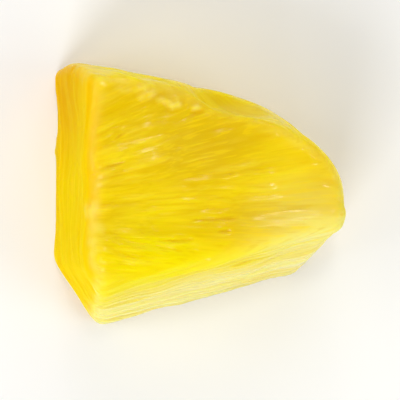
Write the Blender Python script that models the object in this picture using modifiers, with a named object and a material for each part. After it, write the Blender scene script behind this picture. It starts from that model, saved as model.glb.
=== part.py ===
"""A chunk of peeled pineapple: one solid, cut by knife from the shoulder of the fruit.

The chunk lies on a flat cut face with its widest cut face up. The fruit's own axis runs along Y,
to the left of the chunk, so X points from the core towards the rind, Y towards the leafy end of
the fruit and Z up. The flesh is turned round that axis, cut by knife planes, worn at two arrises,
hollowed where eyes were trimmed out, and then softened and made as uneven as wet flesh is.
"""

import math

import bmesh
import bpy
from mathutils import Vector

MM = 0.001

# The chunk's overall size, at rest on its base.
LENGTH = 40.6 * MM
WIDTH = 38.0 * MM
HEIGHT = 26.0 * MM

# The peeled fruit: a straight belly that closes over an elliptical shoulder at its leafy end.
BELLY_RADIUS = 48.2 * MM
SHOULDER_RISE = 18.9 * MM
BELLY_LENGTH = 30.0 * MM
FRUIT_AXIS_X = -27.2 * MM
FRUIT_AXIS_DEPTH = 8.0 * MM
SHOULDER_STEPS = 40
TURN_STEPS = 160

# Knife cuts, each a plane through a point, facing out by a heading in plan and a lean up or down.
# A heading of 0 is +X and turns anticlockwise. A lean over 0 makes the face slope so that it
# shows from above.
CORE_CUT = {"at": (-16.0 * MM, 0.0, HEIGHT), "heading": 179.5, "lean": 9.4}
LOWER_CUT = {"at": (3.0 * MM, -8.4 * MM, HEIGHT), "heading": -75.5, "lean": 15.5}
CORNER_CUT = {"at": (-16.5 * MM, -16.2 * MM, 0.0), "heading": 214.5, "lean": 8.0}
RIND_CORNER_CUT = {"at": (19.3 * MM, -5.6 * MM, HEIGHT), "heading": -40.0, "lean": 3.0}
TOP_CUT = {"at": (0.0, 0.0, HEIGHT), "heading": 60.0, "lean": 89.0}

# How deep the arris between a side cut and the wide top cut is worn away.
WORN_ARRISES = ((CORE_CUT, 0.95 * MM), (LOWER_CUT, 0.45 * MM))

# Hollows where the eyes were trimmed out of the rind side: how far along the fruit from its
# belly, how far round from the top cut, how wide and how deep.
EYES = (
    {"along": 14.4 * MM, "around": 3.0, "width": 16.0 * MM, "depth": 3.4 * MM},
    {"along": 3.5 * MM, "around": -19.0, "width": 10.5 * MM, "depth": 1.9 * MM},
    {"along": 16.4 * MM, "around": -52.0, "width": 11.0 * MM, "depth": 2.1 * MM},
)

# The finish of the cut flesh.
GRAIN = 0.55 * MM
SOFTENING_PASSES = 14
BROAD_SWELL = {"size": 15.0 * MM, "height": 1.5 * MM}
FINE_SWELL = {"size": 4.5 * MM, "height": 0.5 * MM}
KEPT_FACETS = 0.12

# How far below its base the chunk is first cut off, so that softening leaves the base flat.
CLEAR_OF_BASE = 10.0 * MM

# The mesh: what counts as one point, what counts as on a knife plane, and an eye cutter's facets.
ONE_POINT = 0.01 * MM
ON_PLANE = 0.0001 * MM
CUTTER_SEGMENTS = 48
CUTTER_RINGS = 32

FLESH_COLOUR = (0.86, 0.56, 0.03, 1.0)
FLESH_ROUGHNESS = 0.32


def clear_scene():
    """Removes every object that the scene starts with."""
    for obj in list(bpy.data.objects):
        bpy.data.objects.remove(obj, do_unlink=True)


def new_collection(name):
    """A collection of this name, linked to the scene."""
    collection = bpy.data.collections.new(name)
    bpy.context.scene.collection.children.link(collection)
    return collection


def flesh_material():
    """Wet yellow flesh."""
    material = bpy.data.materials.new("pineapple_flesh")
    material.use_nodes = True
    shader = material.node_tree.nodes["Principled BSDF"]
    shader.inputs["Base Color"].default_value = FLESH_COLOUR
    shader.inputs["Roughness"].default_value = FLESH_ROUGHNESS
    shader.inputs["Metallic"].default_value = 0.0
    return material


def facing(cut):
    """The unit vector that a cut face looks along, from its heading and lean in degrees."""
    turn, rise = math.radians(cut["heading"]), math.radians(cut["lean"])
    return Vector((math.cos(turn) * math.cos(rise), math.sin(turn) * math.cos(rise), math.sin(rise)))


def shoulder_radius(along):
    """The peeled fruit's radius at a height above its belly, along its axis."""
    rise = min(max(along / SHOULDER_RISE, 0.0), 1.0)
    return BELLY_RADIUS * math.sqrt(1.0 - rise * rise)


def turned_fruit(collection):
    """The peeled fruit's leafy end, turned round an axis that lies along Y."""
    outline = [(0.0, SHOULDER_RISE)]
    for step in range(1, SHOULDER_STEPS + 1):
        turn = 0.5 * math.pi * step / SHOULDER_STEPS
        outline.append((BELLY_RADIUS * math.sin(turn), SHOULDER_RISE * math.cos(turn)))
    outline += [(BELLY_RADIUS, -BELLY_LENGTH), (0.0, -BELLY_LENGTH)]

    mesh = bpy.data.meshes.new("fruit_profile")
    edges = [(i, i + 1) for i in range(len(outline) - 1)]
    mesh.from_pydata([(x, y, 0.0) for x, y in outline], edges, [])
    fruit = bpy.data.objects.new("fruit", mesh)
    fruit.location = (FRUIT_AXIS_X, 0.0, HEIGHT - FRUIT_AXIS_DEPTH)
    collection.objects.link(fruit)

    screw = fruit.modifiers.new("turn", "SCREW")
    screw.axis = "Y"
    screw.steps = screw.render_steps = TURN_STEPS
    screw.use_merge_vertices = True
    screw.merge_threshold = ONE_POINT
    return fruit


def eye_cutter(name, eye, collection):
    """A ball that takes one eye's hollow out of the rind side."""
    half = 0.5 * eye["width"]
    radius = (half * half + eye["depth"] ** 2) / (2.0 * eye["depth"])
    around = math.radians(eye["around"])
    along = eye["along"]
    surface = shoulder_radius(along)
    on_skin = Vector((surface * math.cos(around), along, surface * math.sin(around)))
    slope = Vector(
        (
            math.cos(around) * surface / BELLY_RADIUS**2,
            along / SHOULDER_RISE**2,
            math.sin(around) * surface / BELLY_RADIUS**2,
        )
    ).normalized()
    axis = Vector((FRUIT_AXIS_X, 0.0, HEIGHT - FRUIT_AXIS_DEPTH))

    mesh = bpy.data.meshes.new(name)
    ball = bmesh.new()
    bmesh.ops.create_uvsphere(
        ball, u_segments=CUTTER_SEGMENTS, v_segments=CUTTER_RINGS, radius=radius
    )
    ball.to_mesh(mesh)
    ball.free()
    cutter = bpy.data.objects.new(name, mesh)
    cutter.location = axis + on_skin + slope * (radius - eye["depth"])
    cutter.hide_render = True
    cutter.display_type = "WIRE"
    collection.objects.link(cutter)
    return cutter


def evaluated_bmesh(obj):
    """The object as its modifiers leave it, in world space, as a bmesh."""
    bpy.context.view_layer.update()
    graph = bpy.context.evaluated_depsgraph_get()
    mesh = bpy.data.meshes.new_from_object(obj.evaluated_get(graph))
    mesh.transform(obj.matrix_world)
    shape = bmesh.new()
    shape.from_mesh(mesh)
    bpy.data.meshes.remove(mesh)
    return shape


def knife_cut(shape, at, outward):
    """Slices off what lies beyond a plane and closes the cut with a flat face."""
    everything = shape.verts[:] + shape.edges[:] + shape.faces[:]
    sliced = bmesh.ops.bisect_plane(
        shape, geom=everything, dist=ON_PLANE, plane_co=at, plane_no=outward, clear_outer=True
    )
    rim = [item for item in sliced["geom_cut"] if isinstance(item, bmesh.types.BMEdge)]
    bmesh.ops.edgeloop_fill(shape, edges=rim)
    bmesh.ops.recalc_face_normals(shape, faces=shape.faces[:])


def swell(chunk, name, size, height):
    """Makes the surface uneven, with swells of this breadth and this full height."""
    texture = bpy.data.textures.new(name, "CLOUDS")
    texture.noise_scale = size
    texture.noise_depth = 1
    displace = chunk.modifiers.new(name, "DISPLACE")
    displace.texture = texture
    displace.texture_coords = "LOCAL"
    displace.mid_level = 0.5
    displace.strength = height


def soften(chunk):
    """Rounds the arrises, makes the cut faces uneven and thins the mesh."""
    remesh = chunk.modifiers.new("grain", "REMESH")
    remesh.mode = "VOXEL"
    remesh.voxel_size = GRAIN
    smooth = chunk.modifiers.new("soft_arrises", "SMOOTH")
    smooth.factor = 0.5
    smooth.iterations = SOFTENING_PASSES
    swell(chunk, "broad_swell", BROAD_SWELL["size"], BROAD_SWELL["height"])
    swell(chunk, "fine_swell", FINE_SWELL["size"], FINE_SWELL["height"])
    thin = chunk.modifiers.new("thinned", "DECIMATE")
    thin.ratio = KEPT_FACETS


def fit_to_size(shape):
    """Scales the shape to the chunk's overall size and centres it over its base."""
    low = Vector([min(v.co[i] for v in shape.verts) for i in range(3)])
    high = Vector([max(v.co[i] for v in shape.verts) for i in range(3)])
    size = high - low
    centre = Vector(((low.x + high.x) / 2.0, (low.y + high.y) / 2.0, low.z))
    for vert in shape.verts:
        place = vert.co - centre
        vert.co = (
            place.x * LENGTH / size.x,
            place.y * WIDTH / size.y,
            place.z * HEIGHT / size.z,
        )


def main():
    """Builds the chunk as one closed solid."""
    clear_scene()
    pieces = new_collection("pineapple_chunk")
    cutters = new_collection("cutters")

    fruit = turned_fruit(pieces)
    shape = evaluated_bmesh(fruit)
    bpy.data.objects.remove(fruit, do_unlink=True)
    for cut in (TOP_CUT, CORE_CUT, LOWER_CUT, CORNER_CUT, RIND_CORNER_CUT):
        knife_cut(shape, Vector(cut["at"]), facing(cut))
    for cut, depth in WORN_ARRISES:
        between = (facing(cut) + facing(TOP_CUT)).normalized()
        knife_cut(shape, Vector(cut["at"]) - between * depth, between)
    knife_cut(shape, Vector((0.0, 0.0, -CLEAR_OF_BASE)), Vector((0.0, 0.0, -1.0)))

    mesh = bpy.data.meshes.new("pineapple_chunk")
    shape.to_mesh(mesh)
    shape.free()
    chunk = bpy.data.objects.new("pineapple_chunk", mesh)
    pieces.objects.link(chunk)
    for number, eye in enumerate(EYES, start=1):
        hollow = chunk.modifiers.new(f"eye_{number}", "BOOLEAN")
        hollow.operation = "DIFFERENCE"
        hollow.object = eye_cutter(f"eye_cutter_{number}", eye, cutters)
    soften(chunk)

    shape = evaluated_bmesh(chunk)
    chunk.modifiers.clear()
    knife_cut(shape, Vector((0.0, 0.0, 0.0)), Vector((0.0, 0.0, -1.0)))
    fit_to_size(shape)
    shape.to_mesh(mesh)
    shape.free()
    mesh.shade_smooth()
    mesh.materials.append(flesh_material())


main()
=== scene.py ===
"""The looks of one pineapple chunk: wet, fibrous yellow flesh, lit softly on a white floor.

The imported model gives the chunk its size, place and cut faces. This script gives it the surface
that a knife leaves on ripe pineapple: strands of fibre that fan out from the core side, bundles
of them with seams between, and frayed arrises with a few torn lumps, all under a thin, uneven
film of juice.
"""

from __future__ import annotations

import logging
from dataclasses import dataclass, field
from enum import Enum
from functools import cached_property
from typing import Callable

import bpy
import numpy as np
from mathutils import Matrix, Vector, noise

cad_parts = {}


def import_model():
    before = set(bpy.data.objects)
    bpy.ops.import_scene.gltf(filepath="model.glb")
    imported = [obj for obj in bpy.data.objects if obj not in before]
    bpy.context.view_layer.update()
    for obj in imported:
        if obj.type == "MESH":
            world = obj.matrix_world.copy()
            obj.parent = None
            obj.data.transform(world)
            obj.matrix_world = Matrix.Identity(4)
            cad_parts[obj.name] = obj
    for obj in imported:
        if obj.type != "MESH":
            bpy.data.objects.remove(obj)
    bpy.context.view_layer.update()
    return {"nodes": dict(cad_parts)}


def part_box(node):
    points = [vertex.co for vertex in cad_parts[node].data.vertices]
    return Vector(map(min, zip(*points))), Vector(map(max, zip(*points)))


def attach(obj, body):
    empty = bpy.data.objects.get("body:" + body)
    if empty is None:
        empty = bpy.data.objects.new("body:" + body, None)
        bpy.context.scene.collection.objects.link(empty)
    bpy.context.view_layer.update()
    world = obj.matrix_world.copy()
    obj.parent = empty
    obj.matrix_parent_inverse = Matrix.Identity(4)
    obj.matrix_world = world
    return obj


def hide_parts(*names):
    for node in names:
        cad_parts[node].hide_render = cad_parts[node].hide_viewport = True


LOG = logging.getLogger("pineapple_chunk")

MM = 0.001
NODE = "pineapple_chunk"
BODY = "root"

# How far a seed moves a random field along x, y and z, how finely the tones of cells differ, and
# how rough the fields of the material are.
SHIFT_PER_SEED = (1.0, -1.7, 0.6)
CELL_TONE_SCALE = 9.0
NOISE_ROUGHNESS = 0.55


def linear(hex_colour: str) -> tuple[float, float, float, float]:
    """Turns an sRGB hex colour into the linear colour that a shader takes.

    Args:
        hex_colour: six hex digits after a hash, such as "#F3D120".

    Returns:
        Red, green and blue as linear values, and an alpha of 1.
    """
    shares = [int(hex_colour[i : i + 2], 16) / 255.0 for i in (1, 3, 5)]
    red, green, blue = (
        s / 12.92 if s <= 0.04045 else ((s + 0.055) / 1.055) ** 2.4 for s in shares
    )
    return red, green, blue, 1.0


def mix(first: float, second: float, share: np.ndarray) -> np.ndarray:
    """Goes from the first value where the share is 0 to the second where it is 1."""
    return first + (second - first) * share


def meeting(first: np.ndarray, second: np.ndarray) -> np.ndarray:
    """Gives 1 where two shares are both a half, as on the line between them, and 0 away from it."""
    return 4.0 * first * second


def field_shift(seed: float) -> Vector:
    """Gives the shift that makes one random field differ from another."""
    return Vector([seed * shift for shift in SHIFT_PER_SEED])


def field_noise(places: np.ndarray, seed: float) -> np.ndarray:
    """Reads a smooth random field at many places.

    Args:
        places: one row of three coordinates for each place, in units of the field's grain.
        seed: shifts the field, so that two fields differ.

    Returns:
        One value from about -1 to 1 for each place.
    """
    shift = field_shift(seed)
    return np.array([noise.noise(Vector(place) + shift) for place in places.tolist()])


def cell_field(places: np.ndarray, seed: float) -> np.ndarray:
    """Divides space into random cells and finds where in its cell each place is.

    Args:
        places: one row of three coordinates for each place, in units of a cell.
        seed: shifts the cells.

    Returns:
        Three rows with one value for each place: how far its cell's middle is, how much further
        the next cell's middle is, and a value from -1 to 1 that is the same all over a cell.
    """
    shift = field_shift(seed)
    cells = np.empty((3, len(places)))
    for i, place in enumerate(places.tolist()):
        distances, middles = noise.voronoi(Vector(place) + shift)
        tone = noise.cell(middles[0] * CELL_TONE_SCALE)
        cells[:, i] = distances[0], distances[1] - distances[0], tone
    return cells


@dataclass(frozen=True)
class Ramp:
    """A smooth change between two values, while what is read goes from low to high."""

    low: float
    high: float
    at_low: float = 0.0
    at_high: float = 1.0

    def of(self, readings: np.ndarray) -> np.ndarray:
        """Gives the ramp's value for each reading."""
        share = np.clip((readings - self.low) / (self.high - self.low), 0.0, 1.0)
        return mix(self.at_low, self.at_high, share * share * (3.0 - 2.0 * share))


class Neighbours:
    """Which points of a mesh are joined by an edge."""

    def __init__(self, mesh: bpy.types.Mesh) -> None:
        """Reads the edges of a mesh.

        Args:
            mesh: the mesh.
        """
        ends = np.empty(len(mesh.edges) * 2, dtype=np.int64)
        mesh.edges.foreach_get("vertices", ends)
        self.first, self.second = ends.reshape(-1, 2).T
        self.count = len(mesh.vertices)
        joined = np.bincount(self.first, minlength=self.count)
        self.joined = joined + np.bincount(self.second, minlength=self.count)

    def spread(self, values: np.ndarray, passes: int) -> np.ndarray:
        """Spreads values over the surface by averaging each point with its neighbours.

        Args:
            values: one value for each point, or one row of three.
            passes: how often to average. The reach grows with its square root.

        Returns:
            The smoothed values, in the shape they came in.
        """
        columns = [values] if values.ndim == 1 else list(values.T)
        for _ in range(passes):
            for i, column in enumerate(columns):
                total = np.bincount(self.first, column[self.second], self.count)
                total += np.bincount(self.second, column[self.first], self.count)
                columns[i] = 0.5 * column + 0.5 * total / self.joined
        return columns[0] if values.ndim == 1 else np.column_stack(columns)


class ShaderTree:
    """A material's node tree, filled one node at a time."""

    def __init__(self, name: str) -> None:
        """Starts a material with an empty tree.

        Args:
            name: the material's name.
        """
        self.material = bpy.data.materials.new(name)
        self.material.use_nodes = True
        self.tree = self.material.node_tree
        self.tree.nodes.clear()

    @cached_property
    def place(self) -> bpy.types.NodeSocket:
        """Gives the socket of each point's place."""
        return self.add("ShaderNodeTexCoord").outputs["Object"]

    @cached_property
    def upright(self) -> bpy.types.NodeSocket:
        """Gives the socket of each point's height above the floor."""
        return self.add("ShaderNodeSeparateXYZ", {0: self.place}).outputs["Z"]

    def add(self, kind: str, settings: dict[int | str, object] | None = None) -> bpy.types.Node:
        """Adds a node with its settings and links.

        Args:
            kind: the node's type, such as "ShaderNodeTexNoise".
            settings: a value for each property or input socket, by name or socket number. An
                input socket whose value is an output socket is linked to it.

        Returns:
            The new node.
        """
        node = self.tree.nodes.new(kind)
        for key, value in (settings or {}).items():
            if isinstance(value, bpy.types.NodeSocket):
                self.tree.links.new(value, node.inputs[key])
            elif isinstance(key, int) or key in node.inputs:
                node.inputs[key].default_value = value
            else:
                setattr(node, key, value)
        return node

    def attribute(self, name: str) -> bpy.types.NodeSocket:
        """Adds a reading of one of the mesh's attributes and returns its socket."""
        return self.add("ShaderNodeAttribute", {"attribute_name": name}).outputs["Fac"]

    def noise(
        self, place: bpy.types.NodeSocket, breadth: float, detail: float
    ) -> bpy.types.NodeSocket:
        """Adds a random field whose patches are of this breadth and returns its socket."""
        settings = {"Scale": 1.0 / breadth, "Detail": detail, "Roughness": NOISE_ROUGHNESS}
        return self.add("ShaderNodeTexNoise", {**settings, "Vector": place}).outputs[0]

    def ramp(self, source: bpy.types.NodeSocket, ramp: Ramp) -> bpy.types.NodeSocket:
        """Adds a ramp.

        Args:
            source: the socket that the ramp reads.
            ramp: its four values.

        Returns:
            The socket of the ramp's value.
        """
        settings = {
            "interpolation_type": "SMOOTHSTEP",
            "From Min": ramp.low,
            "From Max": ramp.high,
            "To Min": ramp.at_low,
            "To Max": ramp.at_high,
            "Value": source,
        }
        return self.add("ShaderNodeMapRange", settings).outputs["Result"]

    def calculate(
        self, operation: str, first: bpy.types.NodeSocket, second: bpy.types.NodeSocket | float
    ) -> bpy.types.NodeSocket:
        """Adds a calculation with two values, such as "MULTIPLY", and returns its socket."""
        return self.add("ShaderNodeMath", {"operation": operation, 0: first, 1: second}).outputs[0]

    def blend(
        self,
        share: bpy.types.NodeSocket,
        first: bpy.types.NodeSocket,
        second: bpy.types.NodeSocket | float,
    ) -> bpy.types.NodeSocket:
        """Adds a change from a first value to a second by a share and returns its socket."""
        return self.add("ShaderNodeMix", {0: share, 2: first, 3: second}).outputs[0]

    def colours(
        self,
        share: bpy.types.NodeSocket,
        under: bpy.types.NodeSocket | tuple[float, ...],
        over: tuple[float, ...],
    ) -> bpy.types.NodeSocket:
        """Lays a linear colour over another by a share and returns the socket."""
        settings = {"data_type": "RGBA", 0: share, 6: under, 7: over}
        return self.add("ShaderNodeMix", settings).outputs[2]


@dataclass(frozen=True)
class FibreFan:
    """The fibres in the flesh: they fan out from a root on the core side towards the rind.

    Lengths are in metres. The fan's own coordinates are two distances across the fibres, the
    first along the sideways axis, and one along them, all true to size at the middle reach. The
    first is shortened by its share where that axis runs into the cut, so that a hollow in the
    cut doesn't bend the fibres round itself.
    """

    root: tuple[float, float, float] = (-44.0 * MM, -3.0 * MM, 21.0 * MM)
    middle_reach: float = 44.0 * MM
    sideways: str = "Y"
    sideways_share: float = 1.0

    def coordinates(self, places: np.ndarray, stretch: float) -> np.ndarray:
        """Gives places in the fan's own coordinates.

        Args:
            places: one row of x, y and z for each place.
            stretch: how many times longer than wide a pattern in these coordinates comes out.

        Returns:
            One row for each place: across, up and along, the last shortened by the stretch.
        """
        away = places - np.array(self.root)
        reach = np.linalg.norm(away, axis=1)
        across = away[:, "XYZ".index(self.sideways)] / reach * self.middle_reach * self.sideways_share
        up = away[:, 2] / reach * self.middle_reach
        return np.column_stack((across, up, reach / stretch))

    def shader_coordinates(self, tree: ShaderTree, stretch: float) -> bpy.types.NodeSocket:
        """Adds nodes that give the same coordinates in a shader.

        Args:
            tree: the material's tree.
            stretch: how many times longer than wide a pattern in these coordinates comes out.

        Returns:
            The socket of the coordinates.
        """
        settings = {"operation": "SUBTRACT", 0: tree.place, 1: self.root}
        away = tree.add("ShaderNodeVectorMath", settings).outputs[0]
        unit = tree.add("ShaderNodeVectorMath", {"operation": "NORMALIZE", 0: away}).outputs[0]
        reach = tree.add("ShaderNodeVectorMath", {"operation": "LENGTH", 0: away}).outputs["Value"]
        parts = tree.add("ShaderNodeSeparateXYZ", {0: unit}).outputs
        across_reach = self.middle_reach * self.sideways_share
        across = tree.calculate("MULTIPLY", parts[self.sideways], across_reach)
        up = tree.calculate("MULTIPLY", parts["Z"], self.middle_reach)
        along = tree.calculate("DIVIDE", reach, stretch)
        return tree.add("ShaderNodeCombineXYZ", {"X": across, "Y": up, "Z": along}).outputs[0]


class Side(Enum):
    """The sides of the chunk whose tone differs from that of its wide cut face.

    Each value is the name of the mesh's attribute that holds how far a point belongs to the side.
    """

    CORE = "core_side"
    LOWER = "lower_side"
    RIND = "rind_side"


class Trace(Enum):
    """What the knife and the fibres leave on the surface.

    Each value is the name of the mesh's attribute that holds the trace.
    """

    STRAND = "strand"
    STRING = "string"
    BUNDLE = "bundle"
    SEAM = "seam"
    ARRIS = "arris"
    TEAR = "tear"
    LUMP = "lump"


# The fan of the whole chunk, and those of its sides, where the knife draws the fibres along the cut.
WHOLE_FAN = FibreFan()
SIDE_FANS = {
    Side.CORE: FibreFan((-24.0 * MM, -78.0 * MM, 22.0 * MM), 80.0 * MM, "X", 0.3),
    Side.LOWER: FibreFan((-60.0 * MM, -27.7 * MM, 14.0 * MM), 60.0 * MM, "Y", 0.3),
    Side.RIND: FibreFan((-42.0 * MM, 38.0 * MM, -14.0 * MM), 55.0 * MM, "Y", 0.3),
}

# The way that each side faces.
SIDE_FACING = {
    Side.CORE: Vector((-1.0, 0.0, 0.1)).normalized(),
    Side.LOWER: Vector((0.25, -1.0, 0.1)).normalized(),
    Side.RIND: Vector((0.55, 1.0, 0.0)).normalized(),
}


@dataclass(frozen=True)
class FibrePattern:
    """A random pattern along the fibres: how broad it is, how stretched, and its seed."""

    breadth: float
    stretch: float
    seed: float

    def rows(self, fan: FibreFan, places: np.ndarray) -> np.ndarray:
        """Gives places in units of the pattern, by a fan of fibres."""
        return fan.coordinates(places, self.stretch) / self.breadth


@dataclass(frozen=True)
class FibreReader:
    """Reads patterns at the points of the surface, by a side's own fan where a point has one.

    A point that belongs to a side by less than the least share is left to the whole chunk's fan.
    """

    places: np.ndarray
    sides: dict[Side, np.ndarray]
    least_share: float

    def read(
        self,
        pattern: FibrePattern,
        source: Callable[[np.ndarray, float], np.ndarray] = field_noise,
        shape: Callable[[np.ndarray], np.ndarray] = np.asarray,
    ) -> np.ndarray:
        """Reads a pattern at each point.

        Args:
            pattern: the pattern.
            source: the random field that it is taken from.
            shape: what is done with the field's values before those of the fans are blended.

        Returns:
            One value for each point, or a row of them for each kind that the source gives.
        """
        values = shape(source(pattern.rows(WHOLE_FAN, self.places), pattern.seed))
        for side, fan in SIDE_FANS.items():
            near = self.sides[side] > self.least_share
            own = shape(source(pattern.rows(fan, self.places[near]), pattern.seed))
            values[..., near] += (own - values[..., near]) * self.sides[side][near]
        return values


@dataclass(frozen=True)
class Lump:
    """A small torn lump that stands proud of an arris: its place, its reach and its height."""

    place: tuple[float, float, float]
    reach: float
    height: float

    def share(self, places: np.ndarray, stretch: float) -> np.ndarray:
        """Finds how far each place belongs to the lump.

        Args:
            places: one row of x, y and z for each place.
            stretch: how many times further the lump reaches along x, about as the fibres run.

        Returns:
            One share for each place: 1 in the lump's middle and 0 outside it.
        """
        away = (places - np.array(self.place)) / np.array((stretch, 1.0, 1.0))
        return Ramp(0.0, self.reach, 1.0, 0.0).of(np.linalg.norm(away, axis=1))


@dataclass(frozen=True)
class WornArrisWithHighlight:
    """The pale lines along the arrises, partly where the fibres of the wide cut face end and partly
    painted highlight.

    The arrises of the core and rind sides are worn and turn gently, so the shares of those sides
    find them. A share is raised to a power that differs from fibre to fibre, because some fibres
    end sooner than others, so the lines aren't even.
    """

    ends: FibrePattern = FibrePattern(2.2 * MM, 7.0, 61.0)
    power: float = 1.2
    power_change: float = 1.6
    least_power: float = 0.4
    most_power: float = 2.4
    tone: float = 0.25
    fray_tone: float = 0.35
    upper_part: Ramp = Ramp(8.0 * MM, 20.0 * MM)
    lower_end: Ramp = Ramp(-2.0 * MM, 8.0 * MM)
    core_strength: float = 0.7
    # The painted highlight at the lower end of the core side's arris.
    lower_end_strength: float = 0.9
    rind_strength: float = 0.9
    sharp_tone: float = 0.40
    back_loss: float = 0.8

    def paleness(
        self, places: np.ndarray, sharp: np.ndarray, fray: np.ndarray, reader: FibreReader
    ) -> np.ndarray:
        """Finds how pale each point is.

        The core side's arris is palest at its lower end, a painted highlight. The sharp turn of the
        back arris, between the core and rind sides, pales much less than the others.

        Args:
            places: the carved points, one row each.
            sharp: how near each point is to an arris that turns sharply.
            fray: how frayed the fibres are at each point.
            reader: reads the patterns at these points, and holds their shares of the sides.

        Returns:
            One share for each point.
        """
        ends = field_noise(self.ends.rows(WHOLE_FAN, reader.places), self.ends.seed)
        power = np.clip(self.power + self.power_change * ends, self.least_power, self.most_power)
        back = np.clip(meeting(reader.sides[Side.CORE], reader.sides[Side.RIND]), 0.0, 1.0)
        pale = sharp * mix(self.sharp_tone, 1.0, fray) * (1.0 - self.back_loss * back)
        high = self.upper_part.of(places[:, 2])
        core = self.core_strength + self.lower_end_strength * self.lower_end.of(-places[:, 1])
        for side, strength in ((Side.CORE, core), (Side.RIND, self.rind_strength)):
            share = reader.sides[side] ** power
            worn = meeting(share, 1.0 - share) * (self.tone + self.fray_tone * fray)
            pale = np.maximum(pale, worn * high * strength)
        return pale


@dataclass
class Flesh:
    """The body of the chunk, in the space that its solid holds.

    A height is how far something stands proud of the cut, and a depth how far it goes in. A
    level is the part of a pattern's height that lies below the cut, and a body is the ramp that
    makes a pattern of a random field. Where the cut is clean and not torn, the strands keep only
    their clean share of their height.
    """

    grain: float = 0.25 * MM
    softening: float = 0.5
    softening_passes: int = 42
    weld_distance: float = 0.001 * MM

    side_turn: Ramp = Ramp(0.30, 0.70)
    side_blend_passes: int = 80
    least_side_share: float = 0.002
    side_coarseness: float = 0.35

    knife_wave: float = 0.30 * MM
    knife_breadth: float = 7.0 * MM
    knife_seed: float = 53.0
    clean_breadth: float = 9.0 * MM
    clean_seed: float = 17.0
    torn_part: Ramp = Ramp(-0.35, 0.35)
    wander: float = 0.40 * MM
    wander_breadth: float = 8.0 * MM
    wander_seeds: tuple[float, float, float] = (41.0, 43.0, 47.0)

    strands: FibrePattern = FibrePattern(2.1 * MM, 20.0, 3.1)
    strand_height: float = 0.55 * MM
    strand_level: float = 0.25
    clean_strands: float = 0.35
    strand_tone: float = 2.2
    fibres: FibrePattern = FibrePattern(0.95 * MM, 22.0, 7.7)
    fibre_height: float = 0.13 * MM
    strings: FibrePattern = FibrePattern(1.7 * MM, 16.0, 5.9)
    string_body: Ramp = Ramp(0.12, 0.42, 1.0, 0.0)
    string_height: float = 0.12 * MM
    tears: FibrePattern = FibrePattern(1.0 * MM, 7.0, 21.0)
    tear_body: Ramp = Ramp(0.42, 0.62)
    tear_depth: float = 0.30 * MM
    fray: FibrePattern = FibrePattern(2.2 * MM, 7.0, 31.0)
    fray_body: Ramp = Ramp(-0.1, 0.5)
    fray_depth: float = 0.40 * MM
    bundles: FibrePattern = FibrePattern(10.0 * MM, 12.0, 12.3)
    bundle_body: Ramp = Ramp(0.0, 0.5)
    bundle_level: float = 0.7
    bundle_height: float = 0.38 * MM
    seam_body: Ramp = Ramp(0.0, 0.18, 1.0, 0.0)

    arris_reach_passes: int = 120
    arris_turn: float = 0.60 * MM
    arris_start: float = 0.2
    arris_wear_and_highlight: WornArrisWithHighlight = WornArrisWithHighlight()
    base_clearance: float = 1.2 * MM

    # Five lumps in a row along the top edge, and one on the arris of the core side.
    lumps: tuple[Lump, ...] = (
        Lump((-10.6 * MM, 15.8 * MM, 24.9 * MM), 1.3 * MM, 0.50 * MM),
        Lump((-7.8 * MM, 15.4 * MM, 25.0 * MM), 1.9 * MM, 0.75 * MM),
        Lump((-5.6 * MM, 14.2 * MM, 25.1 * MM), 0.9 * MM, 0.35 * MM),
        Lump((-3.8 * MM, 14.0 * MM, 25.3 * MM), 1.5 * MM, 0.80 * MM),
        Lump((-0.8 * MM, 13.2 * MM, 25.3 * MM), 0.8 * MM, 0.35 * MM),
        Lump((-15.6 * MM, -1.0 * MM, 24.6 * MM), 2.2 * MM, 0.40 * MM),
    )
    lump_stretch: float = 1.5
    lump_body: float = 0.55
    lump_fray: float = 0.45
    lump_grain: float = 1.0 * MM
    lump_roughness: float = 0.9
    lump_seed: float = 71.0

    piece: bpy.types.Object = field(init=False)

    def build(self, node: bpy.types.Object) -> bpy.types.Object:
        """Builds the flesh from the shape of its solid.

        Args:
            node: the solid, at rest.

        Returns:
            The finished piece, without its material.
        """
        self.piece = bpy.data.objects.new("flesh", node.data.copy())
        bpy.context.scene.collection.objects.link(self.piece)
        self.piece.data.materials.clear()
        self._weld()
        self._regrain()
        self._carve()
        bpy.ops.object.shade_smooth()
        return self.piece

    def _weld(self) -> None:
        """Joins the solid's loose triangles into one closed surface."""
        bpy.ops.object.select_all(action="DESELECT")
        self.piece.select_set(True)
        bpy.context.view_layer.objects.active = self.piece
        bpy.ops.object.mode_set(mode="EDIT")
        bpy.ops.mesh.select_all(action="SELECT")
        bpy.ops.mesh.remove_doubles(threshold=self.weld_distance)
        bpy.ops.object.mode_set(mode="OBJECT")

    def _regrain(self) -> None:
        """Gives the surface an even, fine grain and takes the facets out of it."""
        remesh = self.piece.modifiers.new("grain", "REMESH")
        remesh.mode = "VOXEL"
        remesh.voxel_size = self.grain
        bpy.ops.object.modifier_apply(modifier=remesh.name)
        soften = self.piece.modifiers.new("soften", "SMOOTH")
        soften.factor = self.softening
        soften.iterations = self.softening_passes
        bpy.ops.object.modifier_apply(modifier=soften.name)

    def _carve(self) -> None:
        """Moves each point along its normal, as the knife and the fibres leave the surface."""
        mesh = self.piece.data
        neighbours = Neighbours(mesh)
        places = self._read("co")
        normals = self._read("normal")
        sides = self._side_shares(normals, neighbours)
        arris = self._arris_share(places, normals, neighbours)
        sway = [field_noise(places / self.wander_breadth, seed) for seed in self.wander_seeds]
        swayed = places + self.wander * np.column_stack(sway)
        reader = FibreReader(swayed, sides, self.least_side_share)
        torn = self.torn_part.of(field_noise(places / self.clean_breadth, self.clean_seed))

        strands = reader.read(self.strands, shape=np.abs)
        fibres = reader.read(self.fibres)
        strings = reader.read(self.strings, cell_field, lambda cells: self.string_body.of(cells[0]))
        tears = reader.read(self.tears, shape=self.tear_body.of)
        fray = reader.read(self.fray, shape=self.fray_body.of)
        _, gaps, tones = reader.read(self.bundles, cell_field)

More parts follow.
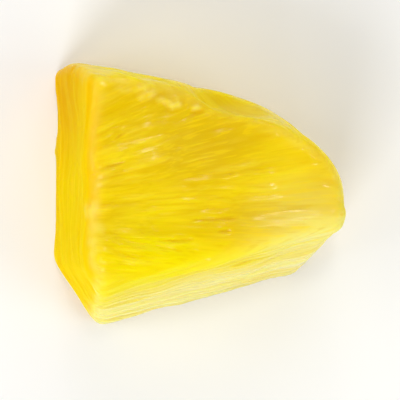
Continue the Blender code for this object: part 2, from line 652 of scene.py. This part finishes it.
        finer, coarser = (self.side_coarseness * sides[side] for side in (Side.CORE, Side.LOWER))
        coarseness = 1.0 - finer + coarser
        height = self.strand_height * (strands - self.strand_level)
        height *= mix(self.clean_strands, 1.0, torn)
        height *= coarseness
        height += self.fibre_height * fibres * coarseness
        height += self.string_height * strings
        height += self.bundle_height * (self.bundle_body.of(gaps) - self.bundle_level)
        height += self.knife_wave * field_noise(places / self.knife_breadth, self.knife_seed)
        height -= self.tear_depth * tears * torn
        height -= self.fray_depth * arris * fray
        lumpy = np.zeros(len(places))
        rough = field_noise(places / self.lump_grain, self.lump_seed)
        ragged = (self.lump_body + self.lump_fray * fray) * (1.0 + self.lump_roughness * rough)
        for lump in self.lumps:
            share = lump.share(places, self.lump_stretch) * ragged
            height += lump.height * share
            lumpy = np.maximum(lumpy, share)
        height *= Ramp(0.0, self.base_clearance).of(places[:, 2])

        places = places + normals * height[:, None]
        places[:, 2] = np.maximum(places[:, 2], 0.0)
        mesh.vertices.foreach_set("co", places.ravel())
        mesh.update()
        self._keep(Trace.STRAND, np.clip(self.strand_tone * strands, 0.0, 1.0))
        self._keep(Trace.STRING, strings)
        self._keep(Trace.BUNDLE, tones)
        self._keep(Trace.SEAM, self.seam_body.of(gaps))
        self._keep(Trace.ARRIS, self.arris_wear_and_highlight.paleness(places, arris, fray, reader))
        self._keep(Trace.TEAR, tears * torn)
        self._keep(Trace.LUMP, lumpy)

    def _read(self, name: str) -> np.ndarray:
        """Reads a vector from each point of the mesh.

        Args:
            name: what is read, such as "co" for the places.

        Returns:
            One row for each point.
        """
        vertices = self.piece.data.vertices
        values = np.empty(len(vertices) * 3)
        vertices.foreach_get(name, values)
        return values.reshape(-1, 3)

    def _side_shares(self, normals: np.ndarray, neighbours: Neighbours) -> dict[Side, np.ndarray]:
        """Finds how far each point belongs to each side, and keeps it for the material.

        Args:
            normals: the points' normals, one row each.
            neighbours: which points are joined.

        Returns:
            One share from 0 to 1 for each point, for each side.
        """
        sides = {}
        for side, facing in SIDE_FACING.items():
            share = self.side_turn.of(normals @ np.array(facing))
            sides[side] = neighbours.spread(share, self.side_blend_passes)
            self._keep(side, sides[side])
        return sides

    def _arris_share(
        self, places: np.ndarray, normals: np.ndarray, neighbours: Neighbours
    ) -> np.ndarray:
        """Finds how near each point is to an arris, from how far smoothing would sink it.

        Args:
            places: the points, one row each.
            normals: their normals, one row each.
            neighbours: which points are joined.

        Returns:
            One share for each point: 0 on a flat face and 1 on an arris.
        """
        smoothed = neighbours.spread(places, self.arris_reach_passes)
        sunk = np.einsum("ij,ij->i", places - smoothed, normals)
        return Ramp(self.arris_start * self.arris_turn, self.arris_turn).of(sunk)

    def _keep(self, attribute: Side | Trace, values: np.ndarray) -> None:
        """Stores one value for each point, for the material to read."""
        kept = self.piece.data.attributes.new(attribute.value, "FLOAT", "POINT")
        kept.data.foreach_set("value", values.astype(np.float32))


class Tone(Enum):
    """The colours of the flesh, and the painted light and shade laid over it."""

    DEEP = "#EAC806"
    BRIGHT = "#F6DB0C"
    # Painted shade with reflected orange light on the core side.
    CORE = "#F8C700"
    # Partly the lower side's own paler tone and partly painted light.
    LOWER = "#FCE52C"
    RIND = "#FBD614"
    # A deeper orange painted into the contact shade at the foot.
    FOOT = "#F2B400"
    # Painted light towards the foot of the lower side.
    PALE_FOOT = "#FEF39C"
    # Pale frayed fibre ends with a painted highlight on the arrises, and a painted highlight on the
    # lumps.
    EDGE = "#FAE678"
    # The next four are painted: a shadow, a glow of light, light, and amber shade with reflected
    # light.
    DENSE = "#D9B200"
    CLEAR = "#F6E600"
    PALE = "#F4EA88"
    AMBER = "#DE9400"
    PALE_FIBRE = "#FBE23C"
    CLEAR_STREAK = "#E6C400"
    VALLEY = "#E3BE00"
    THREAD = "#FBDE18"
    # A slight painted shade in the torn slits.
    TEAR = "#E2B800"


@dataclass(frozen=True)
class FibreGrain:
    """A random field along the fibres that only the material holds."""

    stretch: float
    breadth: float
    detail: float

    def along(self, tree: ShaderTree, fan: FibreFan) -> bpy.types.NodeSocket:
        """Adds the field along one fan of fibres and returns its socket."""
        return tree.noise(fan.shader_coordinates(tree, self.stretch), self.breadth, self.detail)


class Grain(Enum):
    """The grains of the material, from broad streaks to the finest threads."""

    STREAKS = FibreGrain(18.0, 2.4 * MM, 3.0)
    FINE = FibreGrain(18.0, 0.75 * MM, 4.0)
    THREADS = FibreGrain(26.0, 0.36 * MM, 1.0)


@dataclass(frozen=True)
class Tint:
    """A tone that is laid over the flesh where a pattern is strong or weak, by a ramp."""

    pattern: Side | Trace | Grain
    ramp: Ramp
    tone: Tone


@dataclass(frozen=True)
class Zone:
    """A broad, soft-edged patch of painted light or shade, round a place in millimetres."""

    place: tuple[float, float, float]
    reach: tuple[float, float, float]
    tone: Tone
    strength: float

    def share(self, tree: ShaderTree) -> bpy.types.NodeSocket:
        """Adds nodes that give the zone's strength at each place.

        Args:
            tree: the material's tree.

        Returns:
            The socket of the strength.
        """
        middle, reach = (tuple(value * MM for value in part) for part in (self.place, self.reach))
        settings = {"operation": "SUBTRACT", 0: tree.place, 1: middle}
        away = tree.add("ShaderNodeVectorMath", settings).outputs[0]
        settings = {"operation": "DIVIDE", 0: away, 1: reach}
        shares = tree.add("ShaderNodeVectorMath", settings).outputs[0]
        far = tree.add("ShaderNodeVectorMath", {"operation": "LENGTH", 0: shares}).outputs["Value"]
        return tree.ramp(far, Ramp(0.0, 1.0, self.strength, 0.0))


@dataclass(frozen=True)
class WetFlesh:
    """Ripe pineapple flesh, cut with a knife and wet with its own juice.

    Light goes some millimetres into it and comes out a deeper yellow. The fibres are paler and
    less clear than the flesh between them, and the finest threads are colour and bump only. All
    gloss is that of the film of juice. The film is thin and uneven, and it gathers towards the
    foot of the lower side.
    """

    name: str = "wet_pineapple_flesh"
    clouds: FibreGrain = FibreGrain(3.0, 7.0 * MM, 3.0)
    cloud_share: Ramp = Ramp(0.35, 0.65)
    # The foot is painted a deeper orange where the contact shade falls.
    foot: Ramp = Ramp(0.0, 3.0 * MM, 0.7, 0.0)
    # The lower side is painted lighter towards its foot.
    pale_foot: Ramp = Ramp(0.0, 19.5 * MM, 0.9, 0.0)
    # The core side's deeper orange is painted shade with reflected orange light, and the lower side's
    # paler tone is partly its own and partly painted light.
    broad_tints: tuple[Tint, ...] = (
        Tint(Side.CORE, Ramp(0.0, 1.0, 0.0, 0.9), Tone.CORE),
        Tint(Side.LOWER, Ramp(0.0, 1.0, 0.0, 0.8), Tone.LOWER),
        Tint(Side.RIND, Ramp(0.0, 1.0, 0.0, 0.7), Tone.RIND),
    )
    # The pale arrises are partly frayed fibre ends and partly painted highlight.
    arris: Tint = Tint(Trace.ARRIS, Ramp(0.0, 1.0, 0.0, 0.72), Tone.EDGE)

    # A painted shadow over the upper middle of the wide face, a painted glow of light that makes
    # its lower left clearer and brighter, and painted light that pales it towards the rind tip. The
    # core side gets painted amber shade, with painted reflected orange light, at its upper end.
    painted_shadow: Zone = Zone((0.5, 10.0, 26.0), (15.0, 10.0, 10.0), Tone.DENSE, 0.80)
    clear: Zone = Zone((-6.5, -7.5, 26.0), (14.5, 12.0, 9.0), Tone.CLEAR, 0.85)
    pale: Zone = Zone((15.0, -5.0, 22.5), (12.5, 11.5, 16.0), Tone.PALE, 0.85)
    amber: Zone = Zone((-19.5, 15.0, 12.0), (7.0, 15.0, 26.0), Tone.AMBER, 0.95)

    # The fibres and what they leave show less on the core side.
    core_plainness: Ramp = Ramp(0.0, 1.0, 1.0, 0.45)
    fibre_tints: tuple[Tint, ...] = (
        # A painted highlight on the torn lumps.
        Tint(Trace.LUMP, Ramp(0.0, 0.9, 0.0, 0.6), Tone.EDGE),
        Tint(Trace.BUNDLE, Ramp(0.2, 1.0, 0.0, 0.22), Tone.PALE_FIBRE),
        Tint(Grain.STREAKS, Ramp(0.48, 0.66, 0.0, 0.36), Tone.CLEAR_STREAK),
        Tint(Trace.STRAND, Ramp(0.0, 0.35, 0.12, 0.0), Tone.VALLEY),
        Tint(Trace.STRING, Ramp(0.0, 1.0, 0.0, 0.38), Tone.PALE_FIBRE),
        Tint(Grain.FINE, Ramp(0.50, 0.70, 0.0, 0.22), Tone.PALE_FIBRE),
        Tint(Grain.THREADS, Ramp(0.53, 0.66, 0.0, 0.40), Tone.THREAD),
        Tint(Grain.THREADS, Ramp(0.34, 0.46, 0.30, 0.0), Tone.VALLEY),
        Tint(Trace.SEAM, Ramp(0.0, 1.0, 0.0, 0.20), Tone.VALLEY),
        # A slight painted shade in the torn slits.
        Tint(Trace.TEAR, Ramp(0.0, 1.0, 0.0, 0.25), Tone.TEAR),
    )
    bump_strength: float = 0.5
    bump_height: float = 0.07 * MM

    roughness: float = 0.45
    flesh_ior: float = 1.36
    flesh_gloss: float = 0.0
    light_share: float = 0.85
    light_reach: float = 2.2 * MM
    light_radii: tuple[float, float, float] = (1.0, 0.85, 0.20)

    film_breadth: float = 5.0 * MM
    film_detail: float = 2.0
    film: Ramp = Ramp(0.40, 0.62, 0.25, 0.80)
    gathered_film: Ramp = Ramp(8.0 * MM, 25.0 * MM, 0.90, 0.20)
    core_film: float = 0.05
    glow_film: float = 0.1
    juice_roughness: float = 0.16
    juice_ior: float = 1.34

    def material(self) -> bpy.types.Material:
        """Makes the material.

        Returns:
            The finished material.
        """
        tree = ShaderTree(self.name)
        patterns = {part: tree.attribute(part.value) for part in (*Trace, *Side)}
        for grain in Grain:
            patterns[grain] = grain.value.along(tree, WHOLE_FAN)
            for side, fan in SIDE_FANS.items():
                own = grain.value.along(tree, fan)
                patterns[grain] = tree.blend(patterns[side], patterns[grain], own)
        height = tree.calculate("ADD", patterns[Grain.FINE], patterns[Grain.THREADS])
        bump_settings = {"Strength": self.bump_strength, "Distance": self.bump_height}
        bump = tree.add("ShaderNodeBump", {**bump_settings, "Height": height}).outputs[0]
        shader = tree.add(
            "ShaderNodeBsdfPrincipled",
            {
                "Base Color": self._colour(tree, patterns),
                "Roughness": self.roughness,
                "IOR": self.flesh_ior,
                "Specular IOR Level": self.flesh_gloss,
                "Normal": bump,
                "subsurface_method": "RANDOM_WALK",
                "Subsurface Weight": self.light_share,
                "Subsurface Radius": self.light_radii,
                "Subsurface Scale": self.light_reach,
                "Coat Weight": self._film(tree, patterns),
                "Coat Roughness": self.juice_roughness,
                "Coat IOR": self.juice_ior,
                "Coat Normal": bump,
            },
        )
        tree.add("ShaderNodeOutputMaterial", {"Surface": shader.outputs[0]})
        return tree.material

    def _colour(
        self, tree: ShaderTree, patterns: dict[Side | Trace | Grain, bpy.types.NodeSocket]
    ) -> bpy.types.NodeSocket:
        """Lays the flesh's tones and painted light and shade over one another, broad ones first.

        Args:
            tree: the material's tree.
            patterns: the socket of each side, trace and grain.

        Returns:
            The socket of the colour.
        """
        share = tree.ramp(self.clouds.along(tree, WHOLE_FAN), self.cloud_share)
        colour = tree.colours(share, linear(Tone.DEEP.value), linear(Tone.BRIGHT.value))
        for tint in self.broad_tints:
            share = tree.ramp(patterns[tint.pattern], tint.ramp)
            colour = tree.colours(share, colour, linear(tint.tone.value))
        share = tree.ramp(tree.upright, self.foot)
        colour = tree.colours(share, colour, linear(Tone.FOOT.value))
        share = tree.ramp(tree.upright, self.pale_foot)
        share = tree.calculate("MULTIPLY", share, patterns[Side.LOWER])
        colour = tree.colours(share, colour, linear(Tone.PALE_FOOT.value))
        share = tree.ramp(patterns[self.arris.pattern], self.arris.ramp)
        colour = tree.colours(share, colour, linear(self.arris.tone.value))
        for zone in (self.painted_shadow, self.clear, self.pale, self.amber):
            colour = tree.colours(zone.share(tree), colour, linear(zone.tone.value))
        plainness = tree.ramp(patterns[Side.CORE], self.core_plainness)
        for tint in self.fibre_tints:
            share = tree.ramp(patterns[tint.pattern], tint.ramp)
            share = tree.calculate("MULTIPLY", share, plainness)
            colour = tree.colours(share, colour, linear(tint.tone.value))
        return colour

    def _film(
        self, tree: ShaderTree, patterns: dict[Side | Trace | Grain, bpy.types.NodeSocket]
    ) -> bpy.types.NodeSocket:
        """Finds how much of the surface the film of juice covers.

        It is patchy, gathers towards the foot of the lower side, and is thin on the core side
        and over the painted glow.

        Args:
            tree: the material's tree.
            patterns: the socket of each side, trace and grain.

        Returns:
            The socket of the film's share.
        """
        film = tree.ramp(tree.noise(tree.place, self.film_breadth, self.film_detail), self.film)
        gathered = tree.ramp(tree.upright, self.gathered_film)
        film = tree.blend(patterns[Side.LOWER], film, gathered)
        film = tree.blend(patterns[Side.CORE], film, self.core_film)
        return tree.blend(self.clear.share(tree), film, self.glow_film)


@dataclass(frozen=True)
class Softbox:
    """A square lamp that faces the chunk: where it stands, its side and its power in watts."""

    name: str
    place: tuple[float, float, float]
    side: float
    watts: float


@dataclass
class Studio:
    """A white floor, soft lights and a camera that looks down as the photograph does."""

    floor_size: float = 3.0
    floor_colour: str = "#F8F8F7"
    floor_roughness: float = 0.9
    camera_distance: float = 700.0 * MM
    camera_offset: tuple[float, float] = (-31.0 * MM, 42.0 * MM)
    aim_share: float = 0.7
    frame_width: float = 56.0 * MM
    sensor_width: float = 36.0
    nearest: float = 0.01
    furthest: float = 20.0
    world_colour: str = "#FFFFFF"
    world_strength: float = 0.32
    softboxes: tuple[Softbox, ...] = (
        Softbox("key", (-0.30, -0.62, 0.70), 0.45, 3.8),
        Softbox("left", (-0.75, 0.10, 0.55), 0.5, 1.8),
        Softbox("right", (0.70, -0.20, 0.60), 0.5, 1.8),
        Softbox("back", (0.10, 0.80, 0.52), 0.6, 1.9),
        Softbox("glint", (0.02, 0.34, 1.00), 0.10, 1.0),
        Softbox("low_front", (0.20, -0.98, 0.20), 0.08, 0.7),
        Softbox("low_right", (0.85, 0.50, 0.30), 0.10, 0.25),
        Softbox("low_back", (-0.05, 0.98, 0.30), 0.10, 0.5),
        Softbox("low_left", (-0.95, -0.25, 0.30), 0.10, 0.5),
    )

    def build(self, low: Vector, high: Vector) -> None:
        """Sets the floor, the lights and the camera round the chunk.

        Args:
            low: the chunk's lowest corner.
            high: its highest corner.
        """
        self._floor()
        self._lights()
        self._camera(low, high)

    def _floor(self) -> None:
        """Lays the plain floor."""
        bpy.ops.object.select_all(action="DESELECT")
        bpy.ops.mesh.primitive_plane_add(size=self.floor_size)
        floor = bpy.context.object
        floor.name = "floor"
        tree = ShaderTree("matt_white_board")
        settings = {"Base Color": linear(self.floor_colour), "Roughness": self.floor_roughness}
        shader = tree.add("ShaderNodeBsdfPrincipled", settings)
        tree.add("ShaderNodeOutputMaterial", {"Surface": shader.outputs[0]})
        floor.data.materials.append(tree.material)

    def _lights(self) -> None:
        """Lights the chunk from all round, and more from the lower left."""
        world = bpy.data.worlds.new("studio")
        bpy.context.scene.world = world
        world.use_nodes = True
        background = world.node_tree.nodes["Background"]
        background.inputs["Color"].default_value = linear(self.world_colour)
        background.inputs["Strength"].default_value = self.world_strength
        for box in self.softboxes:
            data = bpy.data.lights.new(box.name, "AREA")
            data.shape = "SQUARE"
            data.size = box.side
            data.energy = box.watts
            light = bpy.data.objects.new(box.name, data)
            light.location = box.place
            light.rotation_euler = (-Vector(box.place)).to_track_quat("-Z", "Y").to_euler()
            bpy.context.scene.collection.objects.link(light)

    def _camera(self, low: Vector, high: Vector) -> None:
        """Sets the camera above the chunk, a little to its upper left.

        Args:
            low: the chunk's lowest corner.
            high: its highest corner.
        """
        middle = (low + high) / 2.0
        aim = Vector((middle.x, middle.y, high.z * self.aim_share))
        place = aim + Vector((*self.camera_offset, self.camera_distance))
        data = bpy.data.cameras.new("camera")
        data.sensor_width = self.sensor_width
        data.lens = self.sensor_width * (place - aim).length / self.frame_width
        data.clip_start = self.nearest
        data.clip_end = self.furthest
        camera = bpy.data.objects.new("camera", data)
        back = (place - aim).normalized()
        right = Vector((0.0, 1.0, 0.0)).cross(back).normalized()
        up = back.cross(right)
        turn = Matrix((right, up, back)).transposed().to_4x4()
        camera.matrix_world = Matrix.Translation(place) @ turn
        bpy.context.scene.collection.objects.link(camera)
        bpy.context.scene.camera = camera


def main() -> None:
    """Builds the chunk and its studio."""
    logging.basicConfig(level=logging.INFO, format="%(name)s: %(message)s")
    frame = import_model()
    bpy.context.scene.view_settings.view_transform = "Standard"
    low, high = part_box(NODE)

    flesh = Flesh().build(frame["nodes"][NODE])
    flesh.data.materials.append(WetFlesh().material())
    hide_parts(NODE)
    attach(flesh, BODY)
    LOG.info("%s: %d faces", flesh.name, len(flesh.data.polygons))

    Studio().build(low, high)


if __name__ == "__main__":
    main()
